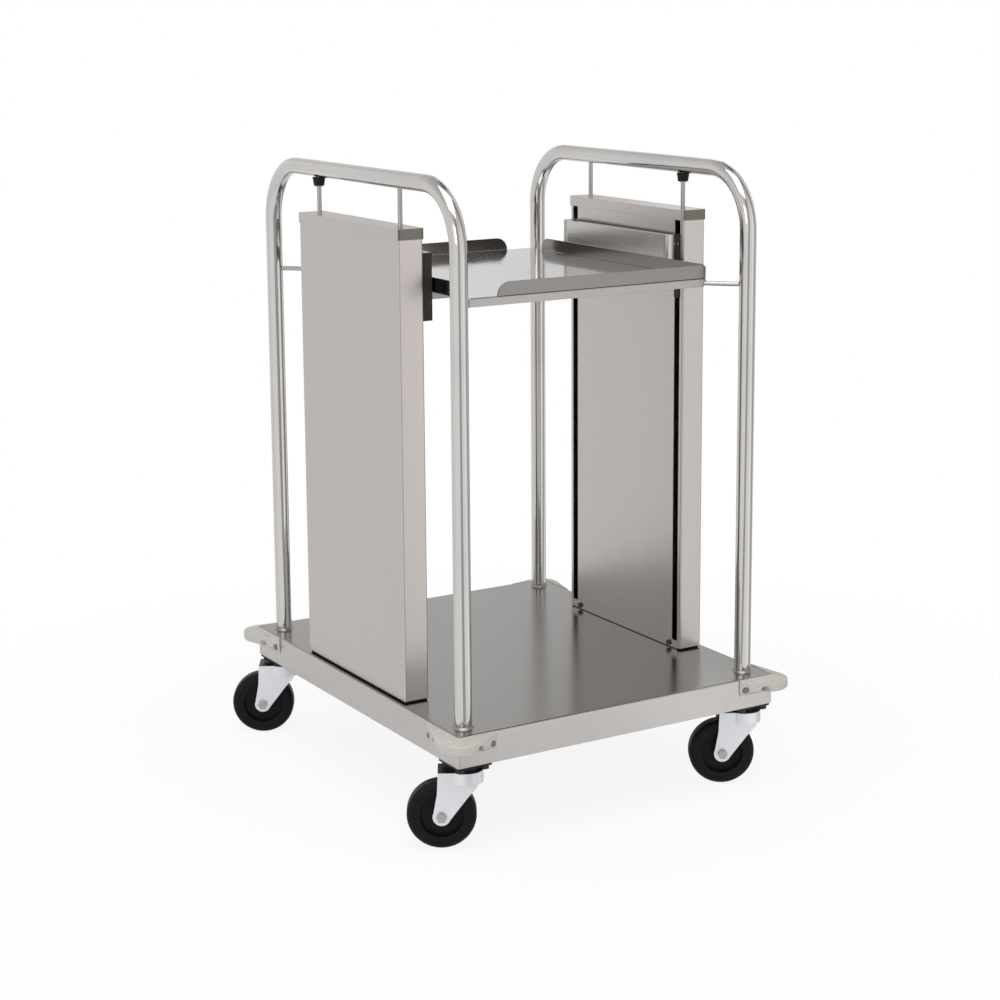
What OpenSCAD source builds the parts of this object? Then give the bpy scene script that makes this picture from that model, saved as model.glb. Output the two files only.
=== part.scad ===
// Tray dispenser on four swivel casters: a sprung shelf runs up and down between two slotted
// columns that stand on a folded base, each under a bent tube frame.
// All sizes in millimetres. The origin is on the floor under the middle of the base.
// X runs to the right, Y to the back, Z up. The right-hand column group is drawn at +X, and the
// left-hand one is the same group turned half a turn about Z. The shelf is drawn at the top of
// its travel; it runs down until the slide guides near the lower ends of the slots.

/* [Base] */
// Width of the base pan, left to right
base_w = 562; // [540:1:600]
// Depth of the base pan, front to back
base_d = 667; // [640:1:720]
// Height of the pan's folded sides
pan_h = 47; // [42:1:60]
// Sheet thickness of the pan
pan_t = 2; // [1.5:0.1:3]
// Outside radius of the pan's folded edges
pan_bend = 3.5; // [3.2:0.1:5]
// Width of the return fold under the front and back edges
pan_return = 15; // [8:1:25]
// Sheet thickness of the channels under the deck
channel_t = 3; // [2:0.5:4]
// Width of the channel that carries the casters
channel_w = 62; // [60:1:66]
// Width of the channel's weld fold under the deck
channel_fold = 20; // [10:1:30]
// Width of the cross members under the deck
cross_w = 40; // [30:1:60]
// Depth of the cross members under the deck
cross_h = 20; // [12:1:30]

/* [Corner bumpers] */
// Reach of the bumper along the front or back edge, from the corner
bump_arm_x = 70; // [66:1:80]
// Reach of the bumper along the side edge, from the corner
bump_arm_y = 83; // [78:1:95]
// Radius of the bumper's nose
bump_r = 31; // [26:1:34]
// Distance of the nose's centre inside each pan face
bump_in = 5; // [3:0.5:8]
// Thickness of the bumper at the ends of its arms
bump_end = 3; // [2:0.5:5]
// Height of the bumper
bump_h = 24; // [20:1:28]
// Drop from the deck to the bumper's top
bump_drop = 4; // [3.6:0.1:8]
// Rounding of the bumper's top edge
bump_round = 9; // [5:0.5:11]
// Height of the chamfer under the bumper
bump_chamfer = 9; // [6:1:12]
// Distance of the first screw from the corner, along the front edge
bump_screw_x = 27; // [25:1:30]
// Distance of the first screw from the corner, along the side edge
bump_screw_y = 48; // [44:1:52]
// Spacing of the two screws in one arm
bump_screw_step = 28; // [24:1:30]
// Radius of the screw's shank
bump_screw_r = 2.5; // [2:0.1:3]
// Radius of the screw's head
bump_head_r = 4.2; // [3.6:0.1:4.8]
// Step between the nose and the arms, where the mould parts
bump_step = 0.2; // [0.1:0.1:0.5]
// Rubber left under the screw's head
bump_seat = 3.5; // [2.5:0.1:5]

/* [Tube frames] */
// Outside diameter of the frame tube
tube_d = 25.4; // [22:0.1:30]
// Wall of the frame tube
tube_t = 1.6; // [1.2:0.1:2.5]
// Height of the frames above the floor
overall_h = 965; // [940:1:1000]
// Radius of the frame's bends at the tube's centre line
bend_r = 90; // [70:1:110]
// Distance of the frame's plane inside the pan's side
frame_inset = 30; // [28:1:34]
// Distance of the frame's legs inside the pan's front and back
leg_inset = 36.5; // [30:0.5:45]
// Height and width of the weld bead round each foot
weld = 3; // [2:0.5:5]

/* [Columns] */
// Width of a column, left to right
col_w = 41; // [40:0.5:48]
// Depth of a column, front to back
col_d = 320; // [300:1:336]
// Depth of the columns' tops below the frames' tops
col_drop = 81; // [76:1:100]
// Sheet thickness of the columns
col_t = 1.5; // [1:0.1:2]
// Outside radius of the column's folded corners
col_bend = 3; // [2.5:0.1:5]
// Width of the shell's strip beside each slot
strip_w = 8; // [7:0.5:12]
// Thickness of the hem behind each strip's edge
hem_t = 3; // [2.5:0.1:4]
// Depth of the hem, into the column
hem_d = 12; // [8:1:14]
// Width of the slots that the carriage runs in
slot_w = 14; // [12:0.5:18]
// Height of the slots' lower ends above the deck
slot_low = 14; // [12:1:20]
// Shadow gap between the deck and the column's shell
foot_gap = 3; // [2:0.5:6]
// Gap between the deck and the inner panel
panel_gap = 1; // [0.5:0.5:3]
// Step of the foot behind the shell's lower edge
foot_step = 3; // [2:0.5:5]
// Sheet thickness of the cap
cap_t = 1.5; // [1.2:0.1:3]
// Height of the cap's skirt
cap_h = 16; // [12:1:20]
// Clearance between the cap's skirt and the column
cap_clear = 0.3; // [0.2:0.1:0.5]
// Distance of the panel's bolts from the panel's edge
panel_bolt_in = 8; // [7:0.5:14]
// Width across the flats of the panel's bolts
panel_bolt_af = 8; // [7:0.5:10]

/* [Rods] */
// Diameter of the upright stay rods
stay_d = 7; // [6:0.5:9]
// Distance of the stay rods from the column's middle
stay_y = 130; // [115:1:135]
// Diameter of the corner rods between the shelf and the legs
rod_d = 7; // [6:0.5:9]
// Depth of the corner rods' centre below the shelf's surface
rod_drop = 8; // [7:0.1:9]
// Length of the block that holds a corner rod
rod_block = 34; // [25:1:60]
// Height of the rubber collars
collar_h = 13; // [10:1:18]
// Upper radius of the rubber collars
collar_r = 10; // [9:0.5:12]
// Lower radius of the rubber collars
collar_low_r = 8; // [6.5:0.5:10]
// Clearance between a fixed rod and its hole
rod_clear = 0.3; // [0.2:0.1:0.6]

/* [Carriage] */
// Clear gap between the shelf and a column
shelf_gap = 21.5; // [18:0.5:24]
// Distance from the legs' axes to the shelf's front and back edges
shelf_back = 46; // [40:1:60]
// Depth of the shelf's surface below the cap's top
shelf_drop = 94; // [90:1:110]
// Sheet thickness of the shelf
shelf_t = 2; // [1.5:0.1:2.5]
// Height of the shelf's folded edge
shelf_edge = 13; // [10:1:18]
// Outside radius of the shelf's folds
shelf_bend = 3; // [2.6:0.1:5]
// Height of the tray guides above the shelf
lip_h = 20; // [18:1:30]
// Sheet thickness of the tray guides
lip_t = 2; // [1.5:0.1:2.5]
// Radius of the tray guides' free ends
lip_end_r = 20; // [10:1:20]
// Drop of the tray guides' top towards their corner
lip_cut = 5; // [2:0.5:8]
// Open length beside the front and back guides
lip_gap_x = 49; // [40:1:60]
// Open length beside the side guides
lip_gap_y = 36; // [28:1:50]
// Height of the carriage plates above the shelf
plate_rise = 56; // [50:1:60]
// Reach of the carriage plates past the inner panel's edges
plate_over = 6; // [4.5:0.1:6.5]
// Sheet thickness of the carriage plates
plate_t = 2; // [1.5:0.1:2.5]
// Outside radius of the carriage plates' upright bends
plate_bend = 7; // [4:0.5:8]
// Width of the carriage plates' top fold
plate_fold = 9; // [8:0.5:10]
// Height of the black slide guides
guide_h = 99; // [90:1:110]
// Reach of the longer slide guide out of each column
guide_out = 19; // [12:0.5:20]
// Reach of the shorter slide guide out of each column
guide_lip = 1.5; // [1:0.5:5]
// Clearance between a slide guide and its slot
guide_clear = 0.6; // [0.4:0.1:1]
// Reach of the slide guides' heads behind the inner panel
guide_head = 8; // [5:0.5:10]
// Clearance between a guide's groove and the carriage plate
groove_clear = 0.2; // [0.1:0.1:0.4]
// Thickness of the carriage's inner plates
inner_t = 3; // [2:0.5:3.5]

/* [Springs] */
// Radius of a lift spring
spring_r = 7; // [5:0.5:8]
// Radius of the spring's wire
spring_wire = 1.5; // [1:0.1:2]
// Number of turns of a lift spring
spring_turns = 22; // [12:1:28]
// Distance of the lift springs from the column's middle
spring_y = 60; // [40:1:90]
// Height of the bar that the springs hang from
hanger_h = 12; // [10:1:12]

/* [Casters] */
// Height of the casters, floor to the top of the plate
caster_h = 130; // [128:0.5:140]
// Radius of the wheels
wheel_r = 50.8; // [47:0.1:51]
// Width of the wheels' tread
wheel_w = 32; // [26:1:34]
// Radius of the wheel's hub
hub_r = 12; // [10:0.5:16]
// Depth of the wheel's rim below its tread
rim_h = 18.8; // [14:0.1:24]
// Radius of the tread's shoulders
shoulder_r = 9; // [6:0.5:10]
// Distance of the axle behind the swivel's axis
trail = 35; // [30:1:38]
// Turn of the casters at rest, clockwise from above
caster_turn = 30; // [0:5:90]
// Width of the square caster plate
plate_w = 58; // [56:1:60]
// Thickness of the caster plate
plate_h = 4; // [3:0.5:5]
// Distance between the bolts of one caster plate
bolt_pitch = 40; // [39:0.5:41]
// Radius of the caster bolts
bolt_r = 4; // [3.5:0.1:4]
// Width across the flats of the caster nuts and bolt heads
nut_af = 13; // [11:0.5:13]
// Height of the caster nuts and bolt heads
nut_h = 6; // [5:0.1:6.2]
// Radius of the swivel's bearing race
race_r = 20; // [17:0.5:20]
// Radius of the race's dust lip
race_lip_r = 24; // [21:0.5:26]
// Height of the gap between the caster plate and the fork
race_h = 9; // [8.8:0.1:11]
// Radius of the fork's crown
crown_r = 26; // [25:0.5:28]
// Height of the crown's skirt
crown_h = 18; // [15:1:20]
// Sheet thickness of the fork
fork_t = 3; // [2.5:0.1:4]
// Clearance between the wheel's tread and a fork leg
fork_side = 2; // [1.5:0.1:4]
// Radius of the fork's boss round the axle
boss_r = 13; // [11:0.5:15]
// Radius of the axle
axle_r = 4; // [3.5:0.1:5]
// Running clearance of the wheel and the swivel, on the radius
run_clear = 0.05; // [0.02:0.01:0.1]
// Gap beside and above pieces that turn past each other
turn_gap = 0.3; // [0.2:0.1:0.6]
// Clearance between a fastener and its hole, on the radius
bolt_clear = 0.3; // [0.2:0.1:0.6]
// Radius of the kingpin
kingpin_r = 5; // [4:0.5:6]

/* [Hidden] */
$fn = 72;
half_w = base_w / 2;
half_d = base_d / 2;
deck_z = caster_h + pan_h;
under_z = deck_z - pan_t;

frame_x = half_w - frame_inset;
leg_y = half_d - leg_inset;
bar_z = overall_h - tube_d / 2;
bend_z = bar_z - bend_r;
tube_r = tube_d / 2;
bore_r = tube_r - tube_t;

col_in = frame_x - col_w / 2;
col_out = frame_x + col_w / 2;
col_y = col_d / 2;
slot_y = col_y - strip_w;
panel_y = slot_y - slot_w;
cap_z = overall_h - col_drop;
shell_z0 = deck_z + foot_gap;
shell_z1 = cap_z - cap_t;
slot_z = deck_z + slot_low;
hanger_z = shell_z1 - hanger_h - 8;
cap_over = cap_t + cap_clear;
panel_bolt_y = panel_y - panel_bolt_in;
panel_bolt_z = deck_z + panel_gap + panel_bolt_af * 0.6 + 1;

stay_r = stay_d / 2;
collar_z1 = overall_h - tube_d - turn_gap;
collar_z0 = collar_z1 - collar_h;

shelf_x = col_in - shelf_gap;
shelf_y = leg_y - shelf_back;
shelf_d = 2 * shelf_y;
shelf_z = cap_z - shelf_drop;
rod_r = rod_d / 2;
rod_z = shelf_z - rod_drop;
corner_x = frame_x - shelf_x;
corner_y = leg_y - shelf_y;
corner_run = norm([corner_x, corner_y]);
stiffener_w = 40;
plate_y = panel_y + plate_over;
plate_z1 = shelf_z + plate_rise;
plate_z0 = shelf_z - shelf_edge;
guide_z1 = plate_z1;
guide_z0 = guide_z1 - guide_h;
head_x0 = col_in + col_t + 0.5;
head_x1 = head_x0 + 11.5;
flange_x = head_x1 - 2;
inner_x = head_x1 + inner_t;
inner_z0 = guide_z0 + 3;
inner_z1 = guide_z1 - 3;
inner_y = slot_y - 2;
shelf_step = 2 * inner_t;
spring_x = inner_x + spring_r + 1;
spring_y_max = panel_y - 20;
guide_screw_y = (plate_y + groove_clear + slot_y - guide_clear) / 2;
guide_screw_r = 1.8;
guide_head_r = 3.6;

caster_x = half_w - plate_w / 2 - 1;
caster_y = half_d - plate_w / 2 - 2.5;
plate_z = caster_h - plate_h;
crown_z = plate_z - race_h;
leg_in = wheel_w / 2 + fork_side;
leg_out = leg_in + fork_t;
hub_w = leg_in - turn_gap;
bolt_end = plate_z - nut_h - 1.2;
kingpin_head = 3.5;
trail_x = 3;

CORNERS = [["fl", -1, -1], ["fr", 1, -1], ["bl", -1, 1], ["br", 1, 1]];

// Shared shapes

// A box given by its limits on the three axes
module box(x, y, z) {
    translate([x[0], y[0], z[0]]) cube([x[1] - x[0], y[1] - y[0], z[1] - z[0]]);
}

// A flat rectangle with round corners, centred
module round_rect(w, d, r) {
    square([w - 2 * r, d], center = true);
    square([w, d - 2 * r], center = true);
    for (x = [-1, 1], y = [-1, 1]) translate([x * (w / 2 - r), y * (d / 2 - r)]) circle(r);
}

// A block with round upright corners and round top edges, standing on z = 0
module soft_block(w, d, h, r) {
    linear_extrude(h - r) round_rect(w, d, r);
    translate([0, 0, h - r - 1]) linear_extrude(r + 1) square([w - 2 * r, d - 2 * r], center = true);
    for (s = [-1, 1]) {
        translate([0, s * (d / 2 - r), h - r])
            rotate([0, 90, 0]) cylinder(r = r, h = w - 2 * r, center = true);
        translate([s * (w / 2 - r), 0, h - r])
            rotate([90, 0, 0]) cylinder(r = r, h = d - 2 * r, center = true);
        for (t = [-1, 1]) translate([s * (w / 2 - r), t * (d / 2 - r), h - r]) sphere(r);
    }
}

// A hexagon given by its width across the flats
module hexagon(af) {
    c = af / sqrt(3);
    polygon([for (i = [0:5]) [c * cos(60 * i), c * sin(60 * i)]]);
}

// The right-hand group as drawn (0), or turned to the left-hand side (1)
module side(k) {
    rotate([0, 0, 180 * k]) children();
}

// One corner's group, drawn for the corner at +X +Y and mirrored to the corner sx, sy
module corner(sx, sy) {
    mirror([sx < 0 ? 1 : 0, 0, 0]) mirror([0, sy < 0 ? 1 : 0, 0]) children();
}

// One caster's group, drawn with the swivel's axis at the origin and the fork facing +X
module caster(sx, sy, turn = 0) {
    translate([sx * caster_x, sy * caster_y, 0]) rotate([0, 0, turn]) children();
}

// Base

// Holes for the screws of the four bumpers, through the pan's sides
module bumper_screw_places() {
    screw_z = deck_z - bump_drop - 0.55 * bump_h;
    for (i = [0, 1]) {
        translate([half_w - bump_screw_x - i * bump_screw_step, half_d, screw_z])
            rotate([-90, 0, 0]) children();
        translate([half_w, half_d - bump_screw_y - i * bump_screw_step, screw_z])
            rotate([0, 90, 0]) children();
    }
}

// Folded pan with a flat deck, open below, with return folds at the front and back
module base_pan() {
    color([0.66, 0.65, 0.63]) difference() {
        union() {
            translate([0, 0, caster_h]) difference() {
                soft_block(base_w, base_d, pan_h, pan_bend);
                box([pan_t - half_w, half_w - pan_t], [pan_t - half_d, half_d - pan_t],
                    [-1, pan_h - pan_t]);
            }
            for (s = [-1, 1])
                translate([0, s * (half_d - pan_t - pan_return / 2), caster_h + pan_t / 2])
                    cube([2 * (half_w - pan_t - channel_w) - 2, pan_return, pan_t], center = true);
        }
        for (c = CORNERS)
            corner(c[1], c[2]) bumper_screw_places()
                cylinder(r = bump_screw_r + bolt_clear, h = 4 * pan_t, center = true);
    }
}

// Caster channel of the right-hand side: floor plate, web and weld fold
module side_channel() {
    x1 = half_w - pan_t;
    x0 = x1 - channel_w;
    y1 = half_d - pan_t;
    color([0.55, 0.55, 0.55]) difference() {
        union() {
            box([x0, x1], [-y1, y1], [caster_h, caster_h + channel_t]);
            box([x0, x0 + channel_t], [-y1, y1], [caster_h, under_z]);
            box([x0, x0 + channel_fold], [-y1, y1], [under_z - channel_t, under_z]);
        }
        for (t = [-1, 1])
            translate([caster_x, t * caster_y, 0]) bolt_places()
                translate([0, 0, caster_h - 1]) cylinder(r = bolt_r + bolt_clear, h = channel_t + 2);
    }
}

// Two channels across the base, under the columns' ends
module cross_members() {
    x1 = half_w - pan_t - channel_w;
    color([0.55, 0.55, 0.55]) for (s = [-1, 1]) translate([0, s * (col_y - cross_w / 2), 0])
        difference() {
            box([-x1, x1], [-cross_w / 2, cross_w / 2], [under_z - cross_h, under_z]);
            box([-half_w, half_w], [channel_t - cross_w / 2, cross_w / 2 - channel_t],
                [under_z - cross_h + channel_t, under_z + 1]);
        }
}

// Section of the bumper: flat top with a round edge, upright face, chamfer below
module bumper_section(inset = 0) {
    r = bump_r - inset;
    z1 = deck_z - bump_drop - inset;
    z0 = deck_z - bump_drop - bump_h + inset;
    polygon([[0, z0], [r - bump_chamfer, z0], [r, z0 + bump_chamfer],
        [r, z1 - bump_round], [r - bump_round, z1], [0, z1]]);
    translate([r - bump_round, z1 - bump_round]) circle(bump_round);
}

// Length and taper of a bumper arm whose end stands bump_end off the pan
function arm_span(reach) = norm([reach - bump_in, bump_in + bump_end]);
function arm_length(reach) = sqrt(pow(arm_span(reach), 2) - bump_r * bump_r);
function arm_taper(reach) = asin(bump_r / arm_span(reach)) - atan2(bump_in + bump_end, reach - bump_in);

// One arm of the bumper, a step inside the nose
module bumper_arm(reach) {
    rotate([0, 0, arm_taper(reach)]) translate([-arm_length(reach), 0, 0]) rotate([90, 0, 90])
        linear_extrude(arm_length(reach)) bumper_section(bump_step);
}

// Moulded bumper of one corner: a turned nose, two tapering arms and four screw wells
module bumper(sx, sy) {
    color([0.76, 0.75, 0.71]) corner(sx, sy) difference() {
        translate([half_w - bump_in, half_d - bump_in, 0]) {
            rotate_extrude() bumper_section();
            bumper_arm(bump_arm_x);
            mirror([1, -1, 0]) bumper_arm(bump_arm_y);
        }
        box([-half_w, half_w], [-half_d, half_d], [0, deck_z]);
        bumper_screw_places() {
            cylinder(r = bump_screw_r + bolt_clear, h = 100, center = true);
        }
        bumper_screw_places() {
            translate([0, 0, bump_seat]) cylinder(r = bump_head_r + bolt_clear, h = 100);
        }
    }
}

// Sixteen pan-head screws of the bumpers
module bumper_screws() {
    color([0.45, 0.44, 0.42]) for (c = CORNERS) corner(c[1], c[2]) bumper_screw_places() {
        translate([0, 0, bump_seat - 14]) cylinder(r = bump_screw_r, h = 14);
        translate([0, 0, bump_seat]) cylinder(r = bump_head_r, h = 2.4);
    }
}

// Frames

// Path of the frame: two legs, two bends and the bar, as a solid round of radius r
module frame_path(r, foot) {
    y = leg_y - bend_r;
    for (s = [-1, 1]) {
        translate([0, s * leg_y, foot]) cylinder(r = r, h = bend_z - foot);
        translate([0, s * y, bend_z]) rotate([0, 0, s > 0 ? 0 : 180])
            rotate([90, 0, 90]) rotate_extrude(angle = 90) translate([bend_r, 0]) circle(r);
    }
    translate([0, -y, bar_z]) rotate([-90, 0, 0]) cylinder(r = r, h = 2 * y);
}

// Bent tube frame with weld beads, and the holes that its rods enter
module frame() {
    color([0.74, 0.73, 0.71]) translate([frame_x, 0, 0]) difference() {
        union() {
            frame_path(tube_r, deck_z);
            for (s = [-1, 1]) translate([0, s * leg_y, deck_z])
                cylinder(r1 = tube_r + weld, r2 = tube_r, h = weld);
        }
        frame_path(bore_r, deck_z - 1);
        for (s = [-1, 1]) translate([0, s * stay_y, bar_z - tube_r - 1])
            cylinder(r = stay_r + rod_clear, h = tube_r);
    }
}

// Columns

// Folded shell, open towards the shelf, with a strip and a hem along each slot
module column_shell() {
    color([0.72, 0.70, 0.67]) translate([0, 0, shell_z0]) linear_extrude(shell_z1 - shell_z0) {
        difference() {
            translate([frame_x, 0]) round_rect(col_w, col_d, col_bend);
            translate([frame_x, 0])
                round_rect(col_w - 2 * col_t, col_d - 2 * col_t, col_bend - col_t);
            translate([col_in - 1, -slot_y]) square([col_t + 1, 2 * slot_y]);
        }
        for (s = [-1, 1]) translate([col_in + hem_d / 2, s * (slot_y + hem_t / 2)])
            square([hem_d, hem_t], center = true);
    }
}

// Flat panel between the slots, with two ears under the slots' lower ends
module inner_panel() {
    z0 = deck_z + panel_gap;
    color([0.72, 0.69, 0.66]) difference() {
        union() {
            box([col_in, col_in + col_t], [-panel_y, panel_y], [z0, shell_z1]);
            box([col_in, col_in + col_t], [-slot_y, slot_y], [z0, slot_z]);
        }
        for (s = [-1, 1]) translate([col_in, s * panel_bolt_y, panel_bolt_z])
            rotate([0, 90, 0]) cylinder(r = 2 + bolt_clear, h = 4 * col_t, center = true);
    }
}

// Sheet cap with a skirt, and holes for the two stay rods
module column_cap() {
    w = col_w + 2 * cap_over;
    d = col_d + 2 * cap_over;
    color([0.58, 0.56, 0.53]) translate([frame_x, 0, cap_z - cap_h]) difference() {
        linear_extrude(cap_h) round_rect(w, d, col_bend + cap_over);
        translate([0, 0, -1]) linear_extrude(cap_h - cap_t + 1)
            round_rect(w - 2 * cap_t, d - 2 * cap_t, col_bend + cap_clear);
        for (s = [-1, 1]) translate([0, s * stay_y, 0])
            cylinder(r = stay_r + rod_clear, h = cap_h + 1);
    }
}

// Foot of a column: a stepped block, hollow above, that the shell and the panel are fixed to
module column_foot() {
    x0 = col_in + col_t;
    x1 = col_out - col_t;
    color([0.2, 0.19, 0.18]) difference() {
        union() {
            box([x0, col_out - foot_step], [foot_step - col_y, col_y - foot_step],
                [deck_z, shell_z0]);
            box([x0, x1], [-slot_y, slot_y], [shell_z0, slot_z]);
        }
        box([x0 + 8, x1 - 4], [4 - slot_y, slot_y - 4], [shell_z0, slot_z + 1]);
        for (s = [-1, 1]) translate([x0, s * panel_bolt_y, panel_bolt_z])
            rotate([0, 90, 0]) cylinder(r = 2 + bolt_clear, h = 14, center = true);
    }
}

// Bolts at the lower corners of both inner panels
module panel_bolts() {
    color([0.3, 0.17, 0.15]) for (k = [0, 1], s = [-1, 1])
        side(k) translate([col_in, s * panel_bolt_y, panel_bolt_z]) rotate([0, 90, 0]) {
            cylinder(r = 2, h = 7);
            translate([0, 0, -3]) linear_extrude(3) hexagon(panel_bolt_af);
        }
}

// Rods, hangers and springs

// Four stay rods from the hanger bars to the frames, two of them with a seat for a collar
module stay_rods() {
    color([0.6, 0.59, 0.57]) for (k = [0, 1]) side(k) {
        for (s = [-1, 1]) translate([frame_x, s * stay_y, hanger_z + 4])
            cylinder(r = stay_r, h = bar_z - tube_r + 5 - hanger_z - 4);
        translate([frame_x, -stay_y, collar_z0 - 1.5]) cylinder(r = stay_r + 2, h = 1.5);
    }
}

// Tapered rubber collars under the frames
module rod_collars() {
    color([0.06, 0.06, 0.07]) for (k = [0, 1])
        side(k) translate([frame_x, -stay_y, collar_z0]) difference() {
            cylinder(r1 = collar_low_r, r2 = collar_r, h = collar_h);
            translate([0, 0, -1]) cylinder(r = stay_r + rod_clear, h = collar_h + 2);
        }
}

// Bars inside the columns' heads that carry the springs and the stay rods
module spring_hangers() {
    x0 = head_x1;
    x1 = col_out - col_t;
    y = col_y - col_bend;
    color([0.5, 0.5, 0.5]) for (k = [0, 1]) side(k) difference() {
        box([x0, x1], [-y, y], [hanger_z, hanger_z + hanger_h]);
        for (s = [-1, 1]) translate([frame_x, s * stay_y, hanger_z + 4])
            cylinder(r = stay_r + rod_clear, h = hanger_h);
    }
}

// Four lift springs, drawn as turned coils on a thin core
module lift_springs() {
    z0 = inner_z0 + inner_t;
    h = hanger_z - z0;
    n = spring_turns;
    pitch = h / n;
    color([0.45, 0.45, 0.45]) for (k = [0, 1], s = [-1, 1])
        side(k) translate([spring_x, s * spring_y, z0]) rotate_extrude() {
            square([spring_r - spring_wire, h]);
            for (i = [0:n - 1]) intersection() {
                translate([spring_r - spring_wire, (i + 0.5) * pitch]) circle(spring_wire, $fn = 24);
                square([spring_r, h]);
            }
        }
}

// Carriage

// Shelf sheet folded down at the front and back, and at the sides where the plates are fixed
module tray_shelf() {
    color([0.8, 0.8, 0.8]) difference() {
        translate([0, 0, plate_z0]) difference() {
            soft_block(2 * shelf_x, shelf_d, shelf_edge, shelf_bend);
            box([shelf_t - shelf_x, shelf_x - shelf_t], [shelf_t - shelf_y, shelf_y - shelf_t],
                [-1, shelf_edge - shelf_t]);
        }
        for (s = [-1, 1], t = [-1, 1]) mirror([s < 0 ? 1 : 0, 0, 0]) mirror([0, t < 0 ? 1 : 0, 0])
            box([shelf_x - shelf_t, shelf_x + 1], [plate_y, shelf_y - shelf_t],
                [plate_z0 - 1, shelf_z - shelf_t]);
        for (k = [0, 1]) side(k) corner_rod_place() {
            rotate([0, 90, 0]) cylinder(r = rod_r + rod_clear, h = corner_run + 12);
            box([0, corner_run + 12], [-rod_r - rod_clear, rod_r + rod_clear], [-shelf_edge, 0]);
        }
    }
}

// Two hat sections under the shelf, level with the ends of the carriage plates
module shelf_stiffeners() {
    x1 = shelf_x - shelf_t;
    z1 = shelf_z - shelf_t;
    h = shelf_edge - shelf_t;
    w = stiffener_w / 2;
    color([0.6, 0.6, 0.6]) for (s = [-1, 1]) translate([0, s * (plate_y - w), 0]) difference() {
        box([-x1, x1], [-w, w], [z1 - h, z1]);
        box([-shelf_x, shelf_x], [shelf_t - w, w - shelf_t], [z1 - h + shelf_t, z1 + 1]);
    }
}

// The line from a leg's axis (x = 0) through the nearest corner of the shelf (x = corner_run)
module corner_rod_place() {
    translate([frame_x, -leg_y, rod_z]) rotate([0, 0, atan2(corner_y, -corner_x)]) children();
}

// Two rods from blocks under the shelf, each hollowed at its end round a leg with clearance
module corner_rods() {
    x1 = corner_run + 16;
    color([0.6, 0.59, 0.57]) for (k = [0, 1]) side(k) corner_rod_place() difference() {
        union() {
            rotate([0, 90, 0]) cylinder(r = rod_r, h = x1);
            box([x1 - 1, x1 + rod_block], [-rod_r - 1, rod_r + 1], [-rod_r - 0.5, rod_drop - shelf_t]);
        }
        cylinder(r = tube_r + guide_clear, h = 3 * rod_d, center = true);
    }
}

// Outline of a tray guide's web: a round free end, and a top that drops towards the bend
module lip_outline(length) {
    polygon([[lip_end_r, 0], [length, 0], [length, lip_h - lip_cut],
        [length - 2 * lip_cut, lip_h], [lip_end_r, lip_h]]);
    intersection() {
        translate([lip_end_r, lip_h - lip_end_r]) circle(lip_end_r);
        square([lip_end_r, lip_h]);
    }
}

// Guide round one corner of the shelf: front web from the left, right web to the back
module tray_guide() {
    len_x = 2 * shelf_x - lip_gap_x;
    len_y = shelf_d - lip_gap_y;
    r = 2 * lip_t;
    x1 = shelf_x;
    y1 = shelf_y;
    color([0.7, 0.69, 0.67]) {
        translate([x1 - len_x, lip_t - y1, shelf_z]) rotate([90, 0, 0])
            linear_extrude(lip_t) difference() {
                lip_outline(len_x);
                translate([len_x - r, -1]) square([r + 1, lip_h + 2]);
            }
        translate([x1 - lip_t, len_y - y1, shelf_z]) rotate([0, 0, -90]) rotate([90, 0, 0])
            mirror([0, 0, 1]) linear_extrude(lip_t) difference() {
                lip_outline(len_y);
                translate([len_y - r, -1]) square([r + 1, lip_h + 2]);
            }
        translate([x1 - r, r - y1, shelf_z]) intersection() {
            difference() {
                cylinder(r = r, h = lip_h - lip_cut + r / 2);
                translate([0, 0, -1]) cylinder(r = r - lip_t, h = lip_h + 2);
            }
            box([0, r + 1], [-r - 1, 0], [0, lip_h]);
        }
    }
}

// Plan of a carriage plate, filled: web, two bends and the returns as deep as x = deep
module plate_plan(inset, deep) {
    r = plate_bend - inset;
    x = shelf_x + inset;
    y = plate_y - inset;
    translate([x + r, -y]) square([deep - x - r, 2 * y]);
    translate([x, r - y]) square([r + 1, 2 * (y - r)]);
    for (s = [-1, 1]) translate([x + r, s * (y - r)]) circle(r);
}

// Plate of the carriage beside the shelf: web, two returns through the slots and a top fold
module carriage_plate() {
    color([0.66, 0.65, 0.63]) {
        translate([0, 0, plate_z0]) linear_extrude(plate_z1 - plate_z0) difference() {
            plate_plan(0, flange_x);
            plate_plan(plate_t, flange_x + 1);
        }
        translate([0, 0, plate_z1 - plate_t]) linear_extrude(plate_t) intersection() {
            plate_plan(0, flange_x);
            translate([shelf_x, -plate_y]) square([plate_fold, 2 * plate_y]);
        }
    }
}

// Two black guides in the slots of one column, each with a head behind the inner panel
module slide_guides() {
    y0 = panel_y + guide_clear;
    y1 = slot_y - guide_clear;
    color([0.09, 0.08, 0.08]) for (s = [-1, 1]) mirror([0, s < 0 ? 1 : 0, 0]) difference() {
        union() {
            box([col_in - guide_lip, head_x0], [y0, y1], [guide_z0, guide_z1]);
            if (s > 0) box([col_in - guide_out, head_x0], [plate_y + groove_clear, y1],
                [guide_z0, guide_z1]);
            box([head_x0, head_x1], [panel_y - guide_head, y1], [guide_z0, guide_z1]);
        }
        box([0, flange_x + groove_clear], [plate_y - plate_t - groove_clear, plate_y + groove_clear],
            [plate_z0, guide_z1 + 1]);
        for (z = [inner_z0 + 12, inner_z1 - 12]) translate([head_x1 + 1, guide_screw_y, z])
            rotate([0, -90, 0]) cylinder(r = guide_screw_r + bolt_clear / 3, h = 18);
    }
}

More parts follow.
